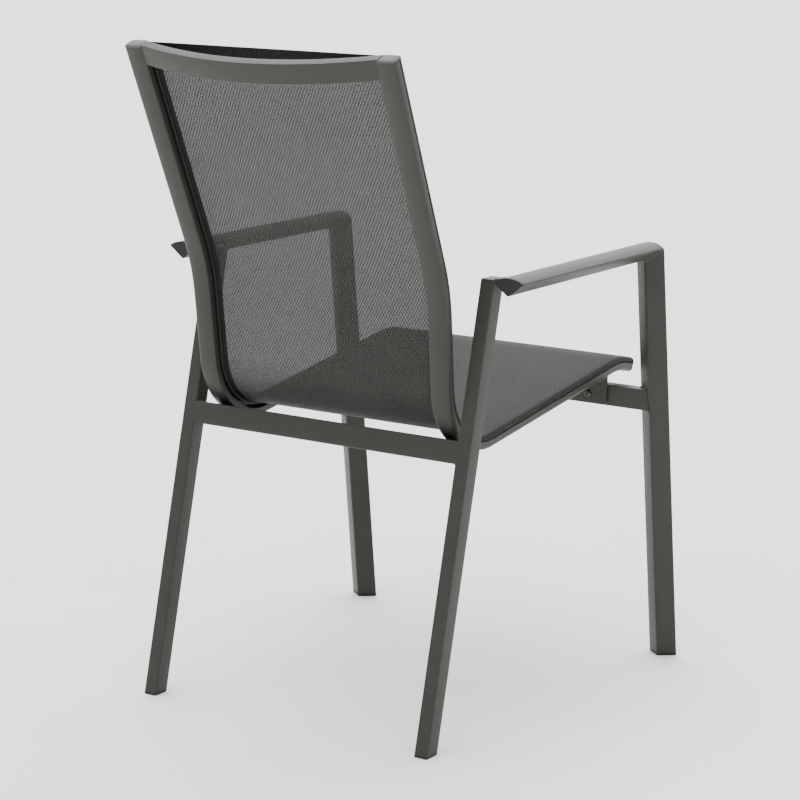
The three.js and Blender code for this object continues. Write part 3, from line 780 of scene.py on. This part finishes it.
def dense(points, step=1.1):
    path = [points[0]]
    for a, b in zip(points, points[1:]):
        count = max(1, round((b - a).length / step))
        path += [a.lerp(b, k / count) for k in range(1, count + 1)]
    return path


def make_cross_rails(paint, bead):
    section = rectangle(-RAIL_DEPTH, -RAIL_HEIGHT, 0, 0, LEG_RADIUS)
    outline = rounded(section)
    back_y = REAR_FOOT_Y + REAR_LEAN * RAIL_TOP
    reach = REAR_LEG_OUTER_X - REAR_LEG_WIDTH + LEG_RADIUS

    def rear(x, p):
        turned_y = p.x * math.cos(REAR_ANGLE) - p.y * math.sin(REAR_ANGLE)
        turned_z = p.x * math.sin(REAR_ANGLE) + p.y * math.cos(REAR_ANGLE)
        return Vector((x, back_y + turned_y, RAIL_TOP + turned_z))

    spots = [reach * (2 * k / RAIL_STEPS - 1) for k in range(RAIL_STEPS + 1)]
    rail = loft([[rear(x, p) for p in outline] for x in spots])
    add_piece("rear_rail_tube", rail, paint, ["rear_cross_rail"])
    rim = [Vector(c) for c in ((-1.5, 0.3), (-RAIL_DEPTH - 0.3, 0.3),
                               (-RAIL_DEPTH - 0.3, -RAIL_HEIGHT - 0.3), (-1.5, -RAIL_HEIGHT - 0.3))]
    path = dense([rear(reach - LEG_RADIUS - 0.4, p) for p in rim])
    add_pair("rear_rail_weld", weld_bead(path), bead)

    def front_reach(p):
        """How far out the rail runs before it meets the front leg's inner V face."""
        z = RAIL_TOP + p.y
        behind = (FRONT_RAIL_BACK_Y + p.x) - (FRONT_FOOT_Y + FRONT_LEAN * z)
        share = min(max(behind * math.cos(FRONT_ANGLE) / KEEL_DEPTH, 0.05), 1.0)
        return ARM_INNER_X + share * ARM_WIDTH / 2 + 0.5

    rings = []
    for k in range(RAIL_STEPS + 1):
        share = 2 * k / RAIL_STEPS - 1
        rings.append([Vector((front_reach(p) * share, FRONT_RAIL_BACK_Y + p.x, RAIL_TOP + p.y))
                      for p in outline])
    add_piece("front_rail_tube", loft(rings), paint, ["front_cross_rail"])
    rim = [Vector(c) for c in ((-RAIL_DEPTH + 2, 0.2), (0.2, 0.2), (0.2, -RAIL_HEIGHT - 0.2),
                               (-RAIL_DEPTH + 2, -RAIL_HEIGHT - 0.2))]
    path = dense([Vector((p.x, p.y, 0)) for p in rim])
    path = [Vector((front_reach(p) - 1.0, FRONT_RAIL_BACK_Y + p.x, RAIL_TOP + p.y)) for p in path]
    add_pair("front_rail_weld", weld_bead(path), bead)


def make_sling_frame(paint, painted_light_cap_paint, cap_plastic):
    section = rounded(rail_section(), 6)
    stations = sling_line(CAP_FLANGE, NOSE_CAP)
    rings = [[on_line(s, p.x, p.y) for p in section] for s in stations]
    add_pair("sling_side_rail", loft(rings), paint, ["sling_rail"])
    front, round_off = SLING_DEPTH + CAP_STAND, CAP_CORNER_RADIUS
    cap_shape = [*rail_back(), (SLING_WIDTH, front, round_off), (0, front, round_off)]
    cap_section = [(SLING_INNER_X + x, y, radius) for x, y, radius in cap_shape]

    def on_top(x, y, below):
        return on_line(TOP_STATION, x, y, below)

    def on_nose(x, y, behind):
        return on_line(nose_at(behind), x, y)

    top = domed_block(cap_section, CAP_FLANGE - SEAM, on_top, TOP_PLATE_DROP)
    # The top plates wear a lighter copy of the powder coat: painted light from above on their tops
    add_pair("rail_top_plate", top, painted_light_cap_paint, ["rail_top_cap"])
    nose = domed_block(cap_section, NOSE_CAP - SEAM, on_nose, NOSE_CAP_DROP)
    add_pair("rail_nose_cap", nose, cap_plastic, ["rail_front_cap"])

    bar_section = rounded(rectangle(0, 0, BAR_HEIGHT, BAR_THICKNESS, BAR_RADIUS))
    half, steps = SLING_INNER_X + BAR_TUCK, 48
    rings = []
    for k in range(steps + 1):
        side = half * (2 * k / steps - 1)
        bow = RAIL_ARCH - BAR_BOW * (1 - (side / SLING_INNER_X) ** 2)
        rings.append([on_line(TOP_STATION, side, p.y + bow, p.x) for p in bar_section])
    add_piece("back_top_bar", loft(rings), paint, ["top_crossbar"])


def sheet_profile():
    """Half of the sheet's section from the middle of the chair to the end tucked in the groove: for
    each place its outer point, its inner point and its length across."""
    back, thick, radius = SHEET_BACK, SHEET_THICK, SHEET_EDGE_RADIUS
    edge = SLING_OUTER_X - SHEET_RELIEF + thick
    flat_end = edge - radius
    flat_steps, turn_steps = 22, 8
    places = [(flat_end * k / flat_steps, back, 0, 1) for k in range(flat_steps + 1)]
    for k in range(1, turn_steps + 1):
        angle = math.pi / 2 * k / turn_steps
        out_x, out_y = math.sin(angle), math.cos(angle)
        places.append((flat_end + radius * out_x, back - radius * (1 - out_y), out_x, out_y))
    places += [
        (edge, GROOVE_MIDDLE + 0.6, 1, 0),
        (edge - thick, GROOVE_MIDDLE + 0.2, 0.7, -0.7),
        (edge - SHEET_TUCK, GROOVE_MIDDLE + 0.2, 0, -1),
    ]
    across = 0.0
    profile = []
    for i, (x, y, out_x, out_y) in enumerate(places):
        if i:
            across += math.hypot(x - places[i - 1][0], y - places[i - 1][1])
        profile.append((Vector((x + out_x * thick, y + out_y * thick)), Vector((x, y)), across))
    return profile


def sheet_stations():
    """The stations down the sheet and each one's length along its front from the top."""
    stations = sling_line(CAP_FLANGE, NOSE_CAP)
    middle = [on_line(s, 0, SHEET_FRONT) for s in stations]
    along = [0.0]
    for a, b in zip(middle, middle[1:]):
        along.append(along[-1] + (b - a).length)
    return stations, along


def lay_cloth(piece, place_of):
    """Give the piece its weave: place_of says how far across and along a vertex lies, in millimetres."""
    layer = piece.data.uv_layers.new(name="cloth")
    for loop in piece.data.loops:
        across, along = place_of(loop.vertex_index)
        layer.data[loop.index].uv = (across * MM, along * MM)


def make_sling(mesh_cloth, painted_shade_hem_cloth):
    """The stretched sheet is a closed slab, and both its faces carry the weave at the same places."""
    half = sheet_profile()
    whole = [(Vector((-a.x, a.y)), Vector((-b.x, b.y)), -c) for a, b, c in reversed(half[1:])] + half
    outline = [a for a, _, _ in whole] + [b for _, b, _ in reversed(whole)]
    across = [c for _, _, c in whole] + [c for _, _, c in reversed(whole)]
    stations, along = sheet_stations()
    points, faces = outward(*loft([[on_line(s, p.x, p.y) for p in outline] for s in stations]))
    count = len(outline)
    sheet = make_mesh("sling_sheet", points, faces, 60)
    lay_cloth(sheet, lambda v: (across[v % count], along[v // count]))
    finish_piece(sheet, mesh_cloth, ["sling_fabric"])
    width, length = whole[-1][2] * 2, along[-1]
    reach, front = SLING_INNER_X, length - FRONT_HEM
    # The hems wear the darker cloth: painted shade of the doubled layer, which lets no light through
    hems = [make_hem("sling_hem_top", -reach, reach, 0, TOP_HEM, painted_shade_hem_cloth),
            make_hem("sling_hem_front", -reach, reach, front, length, painted_shade_hem_cloth)]
    for side, name in ((1, "left"), (-1, "right")):
        ends = sorted((side * (reach - SIDE_HEM), side * (reach + SIDE_HEM_TUCK)))
        hems.append(make_hem(f"sling_hem_{name}", *ends, TOP_HEM, front, painted_shade_hem_cloth))


def make_hem(name, side_0, side_1, start, end, cloth):
    """A folded edge of the sheet: a second layer on its back, from one length along it to another."""
    stations, along = sheet_stations()

    def station_at(place):
        for i in range(1, len(along)):
            if place <= along[i] + 1e-6:
                share = (place - along[i - 1]) / (along[i] - along[i - 1])
                (p0, a0), (p1, a1) = stations[i - 1], stations[i]
                return p0.lerp(p1, share), a0 + (a1 - a0) * share
        return stations[-1]

    places = [start] + [a for a in along if start + 0.5 < a < end - 0.5] + [end]
    edge = [(side_0, HEM_BACK), (side_1, HEM_BACK), (side_1, HEM_FRONT), (side_0, HEM_FRONT)]
    rings = [[on_line(station_at(place), x, depth) for x, depth in edge] for place in places]
    hem = make_mesh(name, *outward(*loft(rings)))
    count = len(edge)
    lay_cloth(hem, lambda v: (edge[v % count][0], places[v // count]))
    return finish_piece(hem, cloth)


def make_bolts(steel):
    """Domed heads with a hexagon socket stand for the CAD's bolts, each in its bolt's own place."""
    for end in ("front", "rear"):
        for kind in ("bracket_bolt", "rail_bolt"):
            node = f"{end}_{kind}"
            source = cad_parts[f"{node}_left"]
            points = [v.co / MM for v in source.data.vertices]
            axis = bolt_axis(end, kind)
            base = min(p.dot(axis) for p in points)
            tip = max(p.dot(axis) for p in points)
            centre = sum(points, Vector()) / len(points)
            origin = centre - axis * (centre.dot(axis) - base)
            origin.x = (min(p.x for p in points) + max(p.x for p in points)) / 2
            add_pair(f"{node}_screw", screw(origin, axis, tip - base), steel, [node])


def bolt_axis(end, kind):
    """The way from a bolt's head to its tip."""
    if end == "front":
        if kind == "bracket_bolt":
            return Vector((0, -1, 0))
        up = toward(SEAT_ANGLE)
        return Vector((0, up.x, up.y))
    if kind == "bracket_bolt":
        return Vector((0, math.cos(REAR_ANGLE), math.sin(REAR_ANGLE)))
    up = toward(REAR_BOLT_ANGLE)
    return Vector((0, up.x, up.y))


def screw(origin, axis, length):
    """A screw that starts with the middle of its head's outer face at the origin."""
    side = Vector((1, 0, 0))
    other = axis.cross(side)
    angles = [2 * math.pi * k / SCREW_SIDES for k in range(SCREW_SIDES)]

    def ring(sizes, height):
        middle = origin + axis * height
        return [middle + side * (size * math.cos(angle)) + other * (size * math.sin(angle))
                for size, angle in zip(sizes, angles)]

    def circle(radius, height):
        return ring([radius] * SCREW_SIDES, height)

    def hexagon(radius, height):
        flat = radius * math.cos(math.pi / 6)
        return ring([flat / math.cos(angle % (math.pi / 3) - math.pi / 6) for angle in angles], height)

    rings = [hexagon(SOCKET_RADIUS, SOCKET_DEPTH), hexagon(SOCKET_RADIUS, 0.15),
             hexagon(SOCKET_RADIUS + 0.25, 0)]
    dome_steps = 6
    for k in range(1, dome_steps + 1):
        angle = math.pi / 2 * k / dome_steps
        radius = DOME_RADIUS + (HEAD_RADIUS - DOME_RADIUS) * math.sin(angle)
        rings.append(circle(radius, DOME_HEIGHT * (1 - math.cos(angle))))
    rings += [circle(HEAD_RADIUS, HEAD_HEIGHT), circle(SHANK_RADIUS, HEAD_HEIGHT),
              circle(SHANK_RADIUS, length - 0.5), circle(SHANK_RADIUS - 0.45, length)]
    return loft(rings)


def dress(node, material):
    node.data.materials.clear()
    node.data.materials.append(material)


def dress_cad(paint, spline_plastic):
    """The edge cords and the brackets keep their CAD solids, the brackets with eased edges."""
    for side in ("left", "right"):
        dress(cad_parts[f"spline_{side}"], spline_plastic)
        for end in ("front", "rear"):
            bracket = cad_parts[f"{end}_bracket_{side}"]
            dress(bracket, paint)
            weld = bracket.modifiers.new("weld", "WELD")
            weld.merge_threshold = 1e-6
            soften = bracket.modifiers.new("bevel", "BEVEL")
            soften.width = BRACKET_EDGE * MM
            soften.segments = 2
            soften.limit_method = "ANGLE"
            soften.angle_limit = math.radians(40)


make_camera()
make_studio()
paint = paint_material("frame_paint", (51, 50, 47), (53, 52, 49), 0.45)
# The frame's powder coat painted lighter for the rail top plates: painted light falling on their tops
# from above
painted_light_cap_paint = paint_material("painted_light_cap_paint", (70, 70, 70), (74, 74, 74), 0.45)
bead_paint = paint_material("weld_paint", (46, 46, 44), (51, 51, 49), 0.5)
cap_plastic = plastic_material("cap_plastic", (33, 33, 32), (38, 38, 37), 0.5)
foot_plastic = plastic_material("foot_plastic", (34, 34, 33), (42, 42, 40), 0.55)
spline_plastic = plastic_material("spline_plastic", (20, 20, 20), (27, 27, 27), 0.6)
bolt_steel = steel_material("bolt_steel")
mesh_cloth = mesh_material("mesh_cloth", (62, 63, 60), (37, 38, 36), True)
# The hems' cloth is the mesh cloth darkened: painted shade of the opaque doubled layer
painted_shade_hem_cloth = mesh_material("painted_shade_hem_cloth", (42, 42, 42), (26, 26, 26), False)

make_arms(paint, cap_plastic, foot_plastic)
make_rear_legs(paint, foot_plastic)
make_arm_joints(paint)
make_cross_rails(paint, bead_paint)
make_sling_frame(paint, painted_light_cap_paint, cap_plastic)
make_sling(mesh_cloth, painted_shade_hem_cloth)
make_bolts(bolt_steel)
dress_cad(paint, spline_plastic)
